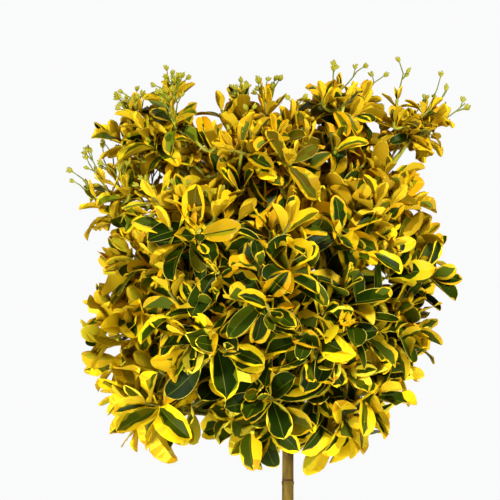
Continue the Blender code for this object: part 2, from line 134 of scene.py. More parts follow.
# Finer twigs
FINE_TWIGS = (1, 2, 3)  # on a shoot low in the crown, halfway up and high
FINE_SWING = 0.5  # radians by which their places round it vary
FINE_SPREADS = (0.048, 0.042, 0.033)  # from their tips to the shoot's, at the same heights
SPREAD_RANGE = (0.8, 1.15)
FINE_REACH = (0.8, 0.99)  # of the shoot's
OUTSIDE_DEPTH = -0.004  # a tip further outside its mass's space goes halfway back
DRAWN_BACK = 0.02  # to a point this far inside the shoot's tip
FURROW_DEPTH = 0.01  # one nearer than this to the side of that space
FURROW_REACH = 0.87  # has this share of its reach, which leaves a dark furrow
FIRST_FINE = 0.5  # of the shoot's length
FINE_STEP = 0.15
FINE_ASIDE = 0.4  # how far its end turns to its own side
RISE = 0.42  # how far its end turns up
DROOP = -0.4  # where its way falls more than this
DROOP_RISE = 0.4  # it turns up by this share of that
SHOOT_RADIUS = 0.0023
FINE_RADIUS = 0.0019
TWIG_TIP_RADIUS = 0.0014
TWIG_SIDES = 6
TUBE_STEPS = 8  # along a twig, besides those at its leaf pairs
NODE_SWELL = 0.0005  # where leaves leave it
NODE_LENGTH = 0.0018
OLD_NODES = 0.058  # from its tip to the first without leaves
OLD_NODE_STEP = 0.024
USED_LENGTH = 0.9  # the share of its length that can have leaves

# The shape of leaves
LEAF_LENGTHS = (0.061, 0.035)  # low in the crown and at its top
SHRINKING = 1.5  # the power of the height by which that changes
STRAY_LEAF = 0.8  # of that on the single shoots
LEAF_WIDTHS = (0.455, 0.43)  # of their length
WIDTH_RANGE = (0.86, 1.12)
FOLDS = (8, 36)  # degrees between a half and the flat
FOLD_RISE = 12  # and how many more at the crown's top
ROLLS = (-0.4, -0.05)  # how far a half bends down to its rim, of its width
CURLS = (-0.15, 0.9)  # how steeply the yellow margin stands up from the green
ARCH_RANGE = (-0.5, 0.4)
ARCH_RISE = 0.5  # how much more at the crown's top
LEAST_ARCH = 0.001
TWIST = 28  # degrees, at most
HIGHEST_WAVE = 0.04  # of its length
WAVES = 14  # radians from foot to tip
WAVE_ROOM = 0.4  # a yellow margin narrower than this waves less
ROWS = np.array((0.0, 0.07, 0.13, 0.22, 0.33, 0.45, 0.57, 0.69, 0.8, 0.9, 0.965, 1.0))
PETIOLE = 0.08  # the share of the length that is stalk
BLADE_RISE = 5  # one over the share in which its fold sets in
FOOT_POWER = 0.8  # of the way from its foot, by which it widens
TIP_POWER = 0.56  # of the way to its tip, by which it narrows
PETIOLE_HALF_WIDTH = 0.0008
TIP_WIDTH = 0.12  # of the leaf's width
VEIN_SLANT = 0.12  # how far the side veins run forward
VEIN_RELIEF = 0.00014
THICKNESS = 0.00045
FRONT_COLUMNS = 10
BACK_COLUMNS = 3  # inside the rims that both faces share
END_STRIPS = ((0, 1, 2), (2, 3, 4), (4, 5, 6, 7), (7, 8, 9))  # front points at the ends of each back strip
LEAVES_PER_PIECE = 600

# Where leaves stand

# Each pair from a twig's tip back: its place, the degrees between leaf and twig, its size, and the radians by
# which a leaf bends to its upper face
PAIRS = (
    (0.001, 26, 0.6, 0.3),
    (0.01, 50, 0.86, -0.15),
    (0.022, 68, 1.0, -0.5),
    (0.036, 80, 0.96, -0.8),
)
STEP_RANGE = (0.9, 1.2)
SPACINGS = (0.9, 1.2)  # of the steps, low in the crown and at its top
PAIR_SWING = 0.3  # radians by which a leaf strays round the twig
TILT_SWING = 12
SIZE_RANGE = (0.82, 1.16)
FINE_PAIRS = (3, 3, 4)  # on a finer twig low in the crown, halfway up and high
FACE_TURN = 0.4  # how far a leaf's face turns to the light
LIGHT = Vector((0.0, -0.45, 1.0))
HEAD_TURN = 0.3  # how far a twig's head of leaves turns outward
HEAD_HEIGHTS = (0.0, 0.2, 0.55, 0.85)  # at these shares of the crown's height
HEAD_RISES = (-0.1, 0.45, 0.65, 1.2)  # it turns up this far
INNER_SHARES = (0.38, 0.6)  # of a shoot's length, where its old leaves stand
INNER_TILTS = (50, 80)
INNER_SIZES = (0.9, 1.1)
INNER_ARCH = -0.4

# The strips of a leaf's half, as shares of its width
RIB = 0.03  # the midrib's half width
RIM = 0.965  # where the thin rim starts
BARE = RIB + 0.05  # green that ends before this takes the yellow's tint
GREEN_ENDS = (RIB + 0.015, RIM - 0.02)
LIGHT_ENDS = (0.0, RIM - 0.008)

# How much of a half is green
FULL_GREEN = 0.95
WIDE_GREENS = (0.88, 0.8)
NARROW_GREENS = (0.1, 0.32)
TRACE_GREENS = (0.0, 0.14)
MEAN_GREEN = 0.72  # on a leaf that isn't golden
GREEN_LOSS = 0.36  # and how much less on a golden one
GREEN_SPREAD = 0.12
GREEN_LIMITS = (0.22, 0.86)
HALF_RANGE = (0.8, 1.15)

# Where along its blade a leaf is green, and how steeply that sets in and ends
FOOT_SLOPE = 10
BLADE_END = (1.0, 5)
FULL_END = (1.03, 8)
PATCH_MIDDLES = (0.25, 0.65)
PATCH_PEAK = 1.5
PATCH_SLOPES = (4.0, 6.5)
TIP_STARTS = (0.5, 0.78)
TIP_SLOPE = 7
TIP_GREEN = 0.1

# How uneven the green's edge is, and the light green beside it
SWINGS = (0.05, 0.3)
SWING_WAVES = (4, 9)
RAGGED = 0.24
EVEN = 0.01  # on a green leaf
RAGGED_RANGE = (-1.2, 0.9)
LIGHT_WIDTH = 0.01
LIGHT_STREAKS = (0.08, 0.16, 0.3)  # how much more in places
EVEN_STREAK = 0.02
GOLDEN_LIGHT = 0.25  # how much more on a golden leaf
PATCH_ROWS = (2, 5)  # that have a neighbouring green
BURNT_FROM = (8, 9, 99, 99, 99, 99)  # the row from which its yellow is burnt, if any
OTHER_GREEN = 0.3  # how often it isn't its spray's
OTHER_YELLOW = 0.35

# How common each kind of leaf is where leaves are more golden than a limit
KINDS = ("green", "margin", "half", "patch", "tip", "gold")
KIND_WEIGHTS = (
    (0.66, (6, 42, 18, 16, 8, 10)),
    (0.42, (12, 48, 14, 12, 8, 6)),
    (0.25, (20, 46, 12, 10, 8, 4)),
    (-math.inf, (32, 48, 8, 6, 6, 0)),
)

# How golden leaves are, with painted light low at the sides and painted shade inside
GOLD_LEAST = 0.12
GOLD_TOP = 0.4  # how much more high in the crown
TOP_FROM = 0.37  # from this share of its height
TOP_OVER = 0.24  # in full this much higher
GOLD_SLOPE = 0.12  # how much more from its bottom to its top
GOLD_FOOT = (0.2, 4)  # how much more at its bottom, and the power of that
GOLD_AND_LIGHT_LEFT = (2.4, 2)  # the same at the left side, partly painted light for the light from behind the low edge leaves
GOLD_AND_LIGHT_RIGHT = (4.2, 6)  # and at the right side, also partly painted light
HALF_WIDTH = 0.2  # of the crown
SIDE_FROM = 0.12  # of that, where the sides' gold sets in
SIDE_MOST = 0.7
PAINTED_SHADE_INSIDE = 0.35  # painted shade: how much less golden, so darker green, leaves are inside the crown
INSIDE_RADIUS = 0.19
GOLD_SWING = 0.2
GOLD_AND_SHADE_STEP = 0.07  # how much less golden, so darker, on each pair down a twig: partly older leaves' own green, partly painted shade
GOLD_AND_SHADE_INNER = 0.3  # how much less golden on old leaves: partly their own green, partly painted shade deep in the crown

LEAF_COLOURS = {
    "deep_green": (0.008, 0.019, 0.0004),
    "dark_green": (0.018, 0.033, 0.0005),
    "mid_green": (0.042, 0.06, 0.001),
    "olive_green": (0.088, 0.084, 0.0012),
    "olive_brown": (0.085, 0.058, 0.0008),
    "fresh_green": (0.12, 0.15, 0.004),
    "sage_green": (0.12, 0.16, 0.008),
    "olive_light": (0.23, 0.19, 0.003),
    "lime_green": (0.33, 0.37, 0.006),
    "bright_gold": (0.82, 0.59, 0.007),
    "gold": (0.66, 0.435, 0.005),
    "dull_gold": (0.54, 0.41, 0.006),
    "orange_gold": (0.6, 0.315, 0.003),
    "mustard": (0.4, 0.24, 0.003),
    "lemon": (0.86, 0.73, 0.04),
    "cream_rim": (0.48, 0.42, 0.075),
    "midrib": (0.105, 0.125, 0.008),
    "under_green": (0.075, 0.105, 0.006),
    "under_lime": (0.42, 0.35, 0.01),
    "under_gold": (0.64, 0.43, 0.012),
    "under_mustard": (0.33, 0.2, 0.004),
}
NEIGHBOURS = {
    "deep_green": ("dark_green", "dark_green"),
    "dark_green": ("deep_green", "mid_green"),
    "mid_green": ("dark_green", "olive_green"),
    "olive_green": ("mid_green", "olive_brown"),
    "olive_brown": ("olive_green", "dark_green"),
    "fresh_green": ("mid_green", "olive_green"),
    "lemon": ("bright_gold", "gold"),
    "bright_gold": ("gold", "lemon"),
    "gold": ("bright_gold", "orange_gold"),
    "dull_gold": ("bright_gold", "gold"),
    "orange_gold": ("gold", "mustard"),
    "mustard": ("orange_gold", "gold"),
}
SLOTS = {name: index for index, name in enumerate(LEAF_COLOURS)}

# The colours that sprays draw from
# The less golden a spray, the darker its greens; where that gold is lost deep in the crown this is painted
# shade
GREENS_BY_GOLD = (
    (0.6, ("dark_green", "mid_green", "olive_green")),
    (0.3, ("deep_green", "dark_green", "mid_green")),
    (-math.inf, ("deep_green", "deep_green", "dark_green", "mid_green")),
)
LOW_GREENS = ("dark_green", "mid_green", "mid_green")
HIGH_GREENS = ("olive_green", "olive_brown")
LEFT_GREENS = ("mid_green", "olive_green", "fresh_green", "fresh_green", "dark_green")
# Brighter yellows low in the crown: partly painted light, for the light that comes through the low edge
# leaves
LOW_BACKLIT_YELLOWS = ("gold", "bright_gold", "bright_gold", "lemon")
MIDDLE_YELLOWS = ("gold", "gold", "dull_gold", "orange_gold")
WARM_YELLOWS = ("orange_gold", "orange_gold", "gold", "mustard")
LEFT_YELLOWS = ("dull_gold", "dull_gold", "bright_gold", "mustard")
LIGHTS = ("sage_green", "olive_light", "lime_green")
WARM_LIGHTS = ("olive_light", "sage_green")
LOW = 0.35  # of the crown's height
HIGH = 0.55
WARM_SIDE = -0.11  # from here to the right the top is warmer
GOLDEN = 0.6  # a low spray over this has the low greens
GOLDEN_UNDER = 0.5

# Finishes: roughness and shine, and before them a plain finish's colour
LEAF_FINISH = (0.42, 0.05)
UNDER_FINISH = (0.6, 0.03)
BARK_FINISH = (0.68, 0.12)
PLAIN = {
    "young_twig": ((0.34, 0.35, 0.02), (0.5, 0.25)),
    "flower_stalk": ((0.14, 0.16, 0.008), (0.5, 0.25)),
    "flower_bud": ((0.27, 0.25, 0.006), (0.5, 0.25)),
    "bark_ring": ((0.06, 0.024, 0.003), (0.7, 0.25)),
    "pale_floor": ((0.82, 0.82, 0.81), (0.9, 0.25)),
}

# The masses whose topmost twigs carry flower stalks: how many twigs, the stalks' length, and how many on each
CYMES = {
    "top_left": (5, 0.026, 4),
    "top_middle": (4, 0.018, 2),
    "top_right": (4, 0.03, 1),
    "top_front": (2, 0.016, 1),
    "top_back": (3, 0.024, 2),
    "right_shoot": (5, 0.04, 1),
    "left_shoot": (6, 0.034, 2),
    "front_upper_left": (4, 0.018, 2),
}
STALK_DROP = 0.004  # from each stalk's foot down the twig to the next
STALK_SPREADS = (6, 30)  # degrees between a stalk and its twig
STALK_TURN = 2.2  # radians round the twig from each to the next
STALK_RANGE = (0.75, 1.05)
STALK_ASIDE = 0.35  # how far its end turns aside, at most
STALK_RISE = 0.4  # and up
STALK_STRAIGHT = 0.4  # the share of it before that turn
STALK_STEPS = 4
STALK_SIDES = 5
STALK_RADII = (0.0009, 0.00075, 0.0006)  # at its foot, its end and a branch's end
BRANCHES = (2, 2, 3)
BRANCH_FEET = (2, 3, 4, 4)  # the step of the stalk that a branch leaves
BRANCH_SPREADS = (16, 44)
BRANCH_TURN = math.pi * 0.9
BRANCH_LENGTH = 0.011
BRANCH_RANGE = (0.5, 1.3)
TURN_SWING = 1.0
FORK_SIDE = Vector((1.0, 0.2, 0.1))  # from which turns round a stalk are counted
BUD_RADIUS = 0.0017
BUD_LENGTH = 2.3  # of its width
BUD_SHARES = (0.0, 0.25, 0.55, 0.85, 1.0)  # of its length, where it has
BUD_WIDTHS = (0.35, 0.85, 1.0, 0.6, 0.15)  # these shares of its width
BUD_SIDES = 6
MIDDLE_BUD = (0.8, 1.1)
SIDE_BUDS = (2, 2, 3, 4)
SIDE_BUD = (0.7, 1.0)
BUD_SPREADS = (14, 34)  # degrees between the buds of a tuft and its branch
BUD_TURN = 2.4

# Bark
TRUNK_STEPS = 320
BARK_SIDES = 48
BARK_SEED = 6
BARK_DROP = 0.0003  # from the solid's surface to its middle
RIDGES = 7
RIDGE_COUNTS = (2, 11)  # round the trunk
RIDGE_SLANTS = (-14, 14)  # radians in a metre
RIDGE_HEIGHT = 0.00035
JOINT_SEED = 5
JOINT_HEIGHT = 0.526  # the one joint of the trunk that shows
JOINT_STEP = 0.054
JOINT_SWING = 0.008
JOINT_ABOVE = 0.0594  # from the joint that shows to the one over it
JOINT_SWELL = 0.0007
JOINT_HALF = 0.0026
GROOVE_DEPTH = 0.0004
GROOVE_RISE = 0.0022  # over its joint
GROOVE_HALF = 0.001
RING_HEIGHTS = (0.001, 0.003)  # over its joint, where its dark line lies
RING_WAVE = 0.001  # how far it dips on its way round
RING_SLANT = 40
BOUGH_STEPS = 20
BOUGH_SIDES = 12
OLD_BARK = ((0.06, 0.034, 0.004), (0.19, 0.122, 0.015), 210.0)  # dark, light and grain
TWIG_BARK = ((0.11, 0.09, 0.01), (0.26, 0.23, 0.022), 160.0)
BARK_RAMP = (0.3, 0.62)

# Meshes
UPRIGHT = 0.9  # from this rise on a direction is upright
SHARP = 60  # degrees
SHARP_LEAF = 70

# Studio: where each lamp stands, its size and its power
LAMPS = {
    "key": ((0.8, -1.6, 1.9), 0.3, 70),
    "fill": ((-1.2, -1.7, 0.4), 0.6, 28),
    "top": ((-0.2, 0.3, 2.3), 1.0, 12),
    "left": ((-1.5, -0.6, 0.05), 0.6, 35),
    "right": ((1.5, -0.6, 0.05), 0.6, 24),
    "back": ((0.2, 1.9, 1.1), 1.0, 26),
}
WORLD_LIGHT = 0.07
BACKDROP = (0.955, 0.96, 0.96)
FLOOR_RADIUS = 1.6
FLOOR_HEIGHTS = (-0.001, -0.03)
FLOOR_SIDES = 96

# Photograph
PHOTO_SIZE = 500
METRES_PER_PIXEL = 0.0011
TRUNK_COLUMN = 289.5  # the pixel column of the trunk
TRUNK_AT_COLUMN = -0.01  # and where the trunk stands there
TOP_ROW = 52  # the pixel row of the topmost bud
TOP_HEIGHT = 1.0
CAMERA_DISTANCE = 2.2


# Curves and tubes

UP = Vector((0, 0, 1))


def clamp(value, low=0.0, high=1.0):
    return min(max(value, low), high)


def between(ends, share):
    return ends[0] + (ends[1] - ends[0]) * share


def by_gold(table, gold):
    """A table's first entry whose limit the gold is over."""
    return next(entry for limit, entry in table if gold > limit)


def bezier(start, bend, end, steps):
    """Points along a curve that leaves start towards bend and arrives at end from bend."""
    points = []
    for i in range(steps + 1):
        t = i / steps
        points.append(start * (1 - t) ** 2 + bend * 2 * t * (1 - t) + end * t * t)
    return points


def along(points, share):
    """The point and the direction at a share of the way along a line of points."""
    place = clamp(share) * (len(points) - 1)
    i = min(int(place), len(points) - 2)
    step = points[i + 1] - points[i]
    return points[i] + step * (place - i), step.normalized()


def length_of(line):
    return sum((line[i + 1] - line[i]).length for i in range(len(line) - 1))


def square_to(direction, like=None):
    """A unit vector at right angles to direction, as near like as can be."""
    like = like or (UP if abs(direction.z) < UPRIGHT else Vector((1, 0, 0)))
    return (like - direction * like.dot(direction)).normalized()


def turned(side, axis, angle):
    """A side of an axis, turned round it by an angle."""
    return side * math.cos(angle) + axis.cross(side) * math.sin(angle)


def leaning(axis, side, angle):
    """The direction that leaves an axis by an angle to one side of it."""
    return axis * math.cos(angle) + side * math.sin(angle)


def hump(distance, half_width):
    """A bell curve: 1 at no distance and about a third at the half width."""
    return math.exp(-((distance / half_width) ** 2))


def tube(points, radii, sides):
    """A closed tube with flat ends, as points and faces."""
    verts = []
    side = None
    for i, point in enumerate(points):
        before, after = points[max(i - 1, 0)], points[min(i + 1, len(points) - 1)]
        direction = (after - before).normalized()
        side = square_to(direction, side)
        for k in range(sides):
            verts.append(point + turned(side, direction, 2 * math.pi * k / sides) * radii[i])
    return verts, tube_faces(len(points), sides)


def tube_faces(rings, sides):
    faces = [tuple(range(sides))[::-1]]
    for i in range(rings - 1):
        for k in range(sides):
            a, b = i * sides + k, i * sides + (k + 1) % sides
            faces.append((a, b, b + sides, a + sides))
    last = (rings - 1) * sides
    faces.append(tuple(range(last, last + sides)))
    return faces


def tapered(first, last, count):
    return [first + (last - first) * i / (count - 1) for i in range(count)]


def placed(name, data):
    obj = bpy.data.objects.new(name, data)
    bpy.context.scene.collection.objects.link(obj)
    return obj


def shaded(name, mesh, looks, sharp):
    """A smooth-shaded object of a mesh. Edges sharper than so many degrees stay sharp."""
    for look in looks:
        mesh.materials.append(look)
    mesh.shade_smooth()
    mesh.set_sharp_from_angle(angle=math.radians(sharp))
    return placed(name, mesh)


def solid(name, verts, faces, looks):
    """A closed object whose faces all look outward."""
    mesh = bpy.data.meshes.new(name)
    mesh.from_pydata([tuple(v) for v in verts], [], faces)
    shape = bmesh.new()
    shape.from_mesh(mesh)
    bmesh.ops.recalc_face_normals(shape, faces=shape.faces)
    shape.to_mesh(mesh)
    shape.free()
    return shaded(name, mesh, looks, SHARP)


def joined(name, shapes, look):
    """One object of many closed shapes, each given as points and faces."""
    verts, faces = [], []
    for own, own_faces in shapes:
        start = len(verts)
        verts += own
        faces += [tuple(i + start for i in face) for face in own_faces]
    return solid(name, verts, faces, [look])


# The source's rule for limbs, stems and side shoots


def trunk_point(height):
    share = height / TRUNK_TOP
    return UP * height + TRUNK_LEAN * share + TRUNK_BOW * math.sin(math.pi * share)


def trunk_radius(height):
    return between(TRUNK_RADII, height / TRUNK_TOP) + FLARE * math.exp(-height / FLARE_HEIGHT)


def flare_lobes(height, angle):
    """The ridges that run down into the main roots."""
    wave = math.cos(FLARE_LOBES * angle) + OVAL * math.cos(2 * angle + OVAL_TURN)
    return FLARE * FLARE_LOBE_DEPTH * math.exp(-height / FLARE_HEIGHT) * wave


class Mass:
    """One mass of foliage: where its middle and its furthest tip are."""

    def __init__(self, name):
        self.name = name
        self.seed = list(PLAN).index(name) + FIRST_SEED
        self.stray = name in STRAY
        self.shoots = STRAY_SHOOTS if self.stray else SHOOTS
        self.tip = CROWN_MIDDLE + Vector(PLAN[name][:3])
        self.out = (self.tip - CORE).normalized()
        self.reach = (self.tip - CORE).length
        self.middle = self.tip - self.out * (STRAY_DEPTH if self.stray else MASS_DEPTH)


MASSES = {name: Mass(name) for name in PLAN}


def depth_in(mass, point):
    """How far a point is inside the planes halfway from a mass's middle to the others' middles."""
    own = (point - mass.middle).length_squared
    depths = []
    for other in MASSES.values():
        if other is not mass:
            apart = (other.middle - mass.middle).length
            depths.append(((point - other.middle).length_squared - own) / (2 * apart))
    return min(depths)


def bough_end(start, mass):
    """Where a bough from start enters its mass's space."""
    share = BOUGH_SHARE
    while share < 1.0 and depth_in(mass, start.lerp(mass.middle, share)) < BOUGH_END_DEPTH:
        share += BOUGH_SHARE_STEP
    return start.lerp(mass.middle, share)


@functools.cache
def bough(name):
    """A bough's line of points, with its radii at foot and tip."""
    mass = MASSES[name]
    parent, place = PLAN[name][3:]
    leave = None
    if name == "top_middle":
        start = trunk_point(TRUNK_TOP) + UP * GAP
        leave = (trunk_point(TRUNK_TOP) - trunk_point(LEADER_BASE)).normalized()
        radius = LEADER_RADIUS
    elif parent == "trunk":
        start, axis = trunk_point(place), UP
        radius = BOUGH_RADIUS
    else:
        line, first, last = bough(parent)
        start, axis = along(line, place)
        radius = between((first, last), place) * SIDE_BOUGH_SHARE
    end = bough_end(start, mass)
    if leave is None:
        leave = leaning(axis, square_to(axis, end - start), BOUGH_ANGLE)
    bend = start + leave * (end - start).length * BOUGH_BEND
    return bezier(start, bend, end, BOUGH_RINGS - 1), radius, radius * BOUGH_TAPER


def shoot_tip(mass, index):
    """Where a mass's shoot ends: they fan out round its furthest tip."""
    aside = turned(square_to(mass.out), mass.out, mass.seed + index * GOLDEN_ANGLE)
    offset = (STRAY_SPREAD if mass.stray else SPREAD) * math.sqrt(index / (mass.shoots - 1))
    reach = (mass.reach - SOLID_LEAF * LEAF_OVERHANG) * (INNER_SHARE if index == INNER_SHOOT else 1.0)
    while offset > 0.0:
        point = CORE + (mass.out * mass.reach + aside * offset).normalized() * reach
        if depth_in(mass, point) > SHOOT_MARGIN:
            return point
        offset -= SPREAD / SPREAD_STEPS
    return CORE + mass.out * reach


def stem_line(mass, line):
    """The stem of a mass, which runs on from its bough's tip to its first shoot's."""
    end, way = along(line, 1.0)
    start = end + way * GAP
    tip = shoot_tip(mass, 0)
    bend = start + way * (tip - start).length * BEND
    return bezier(start, bend, tip, STEM_STEPS)


def side_lines(mass, stem):
    lines = []
    for index in range(1, mass.shoots):
        tip = shoot_tip(mass, index)
        foot, way = along(stem, FIRST_SIDE_SHOOT + (index - 1) * SIDE_SHOOT_STEP)
        leave = leaning(way, square_to(way, tip - foot), SIDE_SHOOT_ANGLE)
        lines.append(bezier(foot, foot + leave * (tip - foot).length * SIDE_SHOOT_BEND, tip, TWIG_STEPS))
    return lines


# Materials


def set_values(node, values):
    for socket, value in values.items():
        node.inputs[socket].default_value = value


def link(tree, *links):
    """Links outputs to inputs, each given as a node and a socket."""
    for source, value, target, socket in links:
        tree.links.new(source.outputs[value], target.inputs[socket])


def new_look(name, roughness, shine):
    look = bpy.data.materials.new(name)
    look.use_nodes = True
    shader = look.node_tree.nodes["Principled BSDF"]
    set_values(shader, {"Roughness": roughness, "Specular IOR Level": shine})
    return look, look.node_tree, shader


def plain_look(name, colour, finish):
    look, _, shader = new_look(name, *finish)
    set_values(shader, {"Base Color": (*colour, 1.0)})
    return look


def leaf_looks():
    """Plain leaf finishes, one for each colour that is dealt out."""
    looks = []
    for name, colour in LEAF_COLOURS.items():
        looks.append(plain_look(name, colour, UNDER_FINISH if name.startswith("under") else LEAF_FINISH))
    return looks


def bark_look(name, dark, light, grain):
    """Mottled bark: one stretched noise mixes its colours and gives its grain."""
    look, tree, shader = new_look(name, *BARK_FINISH)
    place = tree.nodes.new("ShaderNodeTexCoord")
    stretch = tree.nodes.new("ShaderNodeMapping")
    set_values(stretch, {"Scale": (1.0, 1.0, 0.20)})
    noise = tree.nodes.new("ShaderNodeTexNoise")
    set_values(noise, {"Scale": grain, "Detail": 7.0})
    ramp = tree.nodes.new("ShaderNodeValToRGB")
    for end, position, colour in zip(ramp.color_ramp.elements, BARK_RAMP, (dark, light)):
        end.position = position
        end.color = (*colour, 1.0)
    bump = tree.nodes.new("ShaderNodeBump")
    set_values(bump, {"Strength": 0.3, "Distance": 0.0005})
    link(
        tree,
        (place, "Object", stretch, "Vector"),
        (stretch, "Vector", noise, "Vector"),
        (noise, "Fac", ramp, "Fac"),
        (ramp, "Color", shader, "Base Color"),
        (noise, "Fac", bump, "Height"),
        (bump, "Normal", shader, "Normal"),
    )
    return look


# Leaves


def along_blade(t):
    """How far places along a leaf are from its blade's foot to its tip."""
    return np.clip((t - PETIOLE) / (1 - PETIOLE), 0.0, 1.0)


def green_area(kind, gold, rng):
    """How wide each half of a leaf is green, and what share of that at each row."""
    s = along_blade(ROWS)
    base = clamp(rng.gauss(MEAN_GREEN - GREEN_LOSS * gold, GREEN_SPREAD), *GREEN_LIMITS)
    widths = [base * rng.uniform(*HALF_RANGE), base * rng.uniform(*HALF_RANGE)]
    end, slope = FULL_END if kind == "green" else BLADE_END
    shares = np.clip(s * FOOT_SLOPE, 0, 1) * np.clip((end - s) * slope, 0, 1)
    if kind == "green":
        widths = [FULL_GREEN, FULL_GREEN]
    elif kind == "half":
        widths = [WIDE_GREENS[0], rng.uniform(*NARROW_GREENS)]
        rng.shuffle(widths)
    elif kind == "patch":
        middle = rng.uniform(*PATCH_MIDDLES)
        shares = np.clip(PATCH_PEAK - np.abs(s - middle) * rng.uniform(*PATCH_SLOPES), 0, 1)
    elif kind == "tip":
        widths = WIDE_GREENS
        shares = np.clip((rng.uniform(*TIP_STARTS) - s) * TIP_SLOPE, TIP_GREEN, 1)
    elif kind == "gold":
        widths = [rng.uniform(*TRACE_GREENS), rng.uniform(*TRACE_GREENS)]
    return widths, shares


def green_edges(kind, width, shares, rng):
    """How far from its midrib half a leaf is green at each row, and how far light green."""
    swing = 0.0 if kind == "green" else rng.uniform(*SWINGS)
    waves = along_blade(ROWS) * rng.uniform(*SWING_WAVES) + rng.uniform(0, 2 * math.pi)
    edge = width * shares * (1 + swing * np.sin(waves))
    ragged = EVEN if kind == "green" else RAGGED
    edge *= np.array([1 + ragged * rng.uniform(*RAGGED_RANGE) for _ in ROWS])
    green = np.clip(edge, *GREEN_ENDS)
    streak = EVEN_STREAK if kind == "green" else rng.choice(LIGHT_STREAKS)
    light = LIGHT_WIDTH + streak * np.array([rng.random() ** 2 for _ in ROWS])
    if kind == "gold":
        light += GOLDEN_LIGHT
    return green, np.clip(green + light, *LIGHT_ENDS)


class Leaf:
    """One leaf: its foot, the ways that it and its upper face point, and its shape and colours."""

    def __init__(self, foot, heading, face, length, arch, spray, gold, rng):
        up = height_share(foot)
        self.foot = foot
        self.heading = heading
        self.face = face
        self.length = length
        self.half_width = length * between(LEAF_WIDTHS, up) / 2 * rng.uniform(*WIDTH_RANGE)
        self.fold = math.tan(math.radians(rng.uniform(*FOLDS) + FOLD_RISE * up))
        self.roll = rng.uniform(*ROLLS)
        self.curl = rng.uniform(*CURLS)
        self.arch = (arch + rng.uniform(*ARCH_RANGE)) * (1 + ARCH_RISE * up)
        self.twist = math.radians(rng.uniform(-TWIST, TWIST))
        self.wave = rng.uniform(0.0, HIGHEST_WAVE)
        self.phase = rng.uniform(0, 2 * math.pi)
        self.kind = rng.choices(KINDS, by_gold(KIND_WEIGHTS, gold))[0]
        widths, shares = green_area(self.kind, gold, rng)
        self.green, self.light = zip(*[green_edges(self.kind, width, shares, rng) for width in widths])
        self.colours = self.pick_colours(spray, rng)
        self.burnt_from = rng.choice(BURNT_FROM)
        self.patches = [self.patch(rng), self.patch(rng)]

    def patch(self, rng):
        """The rows in which one half's green is the neighbouring green."""
        start = rng.randrange(len(ROWS))
        return range(start, start + rng.randint(*PATCH_ROWS))

    def pick_colours(self, spray, rng):
        """The leaf's colours: its spray's, with a neighbour of them now and then."""
        colours = dict(spray)
        if rng.random() < OTHER_GREEN:
            colours["green"] = rng.choice(NEIGHBOURS[colours["green"]])
        if rng.random() < OTHER_YELLOW:
            colours["yellow"] = rng.choice(NEIGHBOURS[colours["yellow"]])
        colours["patch"] = rng.choice(NEIGHBOURS[colours["green"]])
        yellow = colours["yellow"]
        colours["rim"] = "cream_rim" if self.kind == "green" else rng.choice((yellow, yellow, "orange_gold"))
        colours["tint"] = rng.choice((yellow, *NEIGHBOURS[yellow]))
        return colours


def half_outline(t):
    """A leaf's half width along its length, as a share of its greatest."""
    s = along_blade(t)
    widest = FOOT_POWER / (FOOT_POWER + TIP_POWER)
    peak = widest**FOOT_POWER * (1 - widest) ** TIP_POWER
    return s**FOOT_POWER * (1 - s) ** TIP_POWER / peak


def leaf_columns(leaf):
    """Where a leaf's strips meet on its upper face, from -1 at the left rim to 1 at the right."""
    ones = np.ones(len(ROWS))
    left, right = leaf.green
    columns = (-ones, -RIM * ones, -leaf.light[0], -left, -RIB * ones, RIB * ones, right, leaf.light[1])
    return np.stack((*columns, RIM * ones, ones), axis=1)


def leaf_surface(leaf, across, back=False):
    """Points of the flat leaf with its fold, rolled rims, waves and veins, or of its back."""
    rows = ROWS[:, None]
    size = np.abs(across)
    t = np.clip(rows + VEIN_SLANT * size * np.sin(math.pi * rows) * rows, 0, 1)
    half = np.maximum(leaf.half_width * half_outline(t), PETIOLE_HALF_WIDTH)
    half[-1] = leaf.half_width * TIP_WIDTH
    blade = np.clip((rows - PETIOLE) * BLADE_RISE, 0, 1)
    z = half * (leaf.fold * size + leaf.roll * size**2) * blade
    green = np.where(across < 0, leaf.green[0][:, None], leaf.green[1][:, None])
    wave = np.sin(rows * WAVES + leaf.phase) * leaf.wave * leaf.length * blade
    margin = np.maximum(size - green, 0.0)
    z += wave * np.minimum((1 - green) / WAVE_ROOM, 1.0) * margin / (1 - green)
    z += half * leaf.curl * margin * blade
    if back:
        z -= THICKNESS
    else:
        veins = np.where(np.arange(len(ROWS)) % 2 == 0, 1.0, -1.0)[:, None]
        z += veins * VEIN_RELIEF * np.sin(math.pi * size) * blade
    return np.stack((across * half, t * leaf.length, z), axis=2)


def bend_leaf(points, leaf):
    """Curves a flat leaf along its length, twists it, and sets it in its place."""
    x, y, z = points.T
    t = y / leaf.length
    arch = leaf.arch if abs(leaf.arch) > LEAST_ARCH else LEAST_ARCH
    angle = arch * t
    radius = leaf.length / arch
    forward = (radius - z) * np.sin(angle)
    up = radius - (radius - z) * np.cos(angle)
    turn = leaf.twist * t
    x, up = x * np.cos(turn) - up * np.sin(turn), x * np.sin(turn) + up * np.cos(turn)
    heading, face = np.array(leaf.heading), np.array(leaf.face)
    side = np.cross(heading, face)
    return np.array(leaf.foot) + np.outer(x, side) + np.outer(forward, heading) + np.outer(up, face)


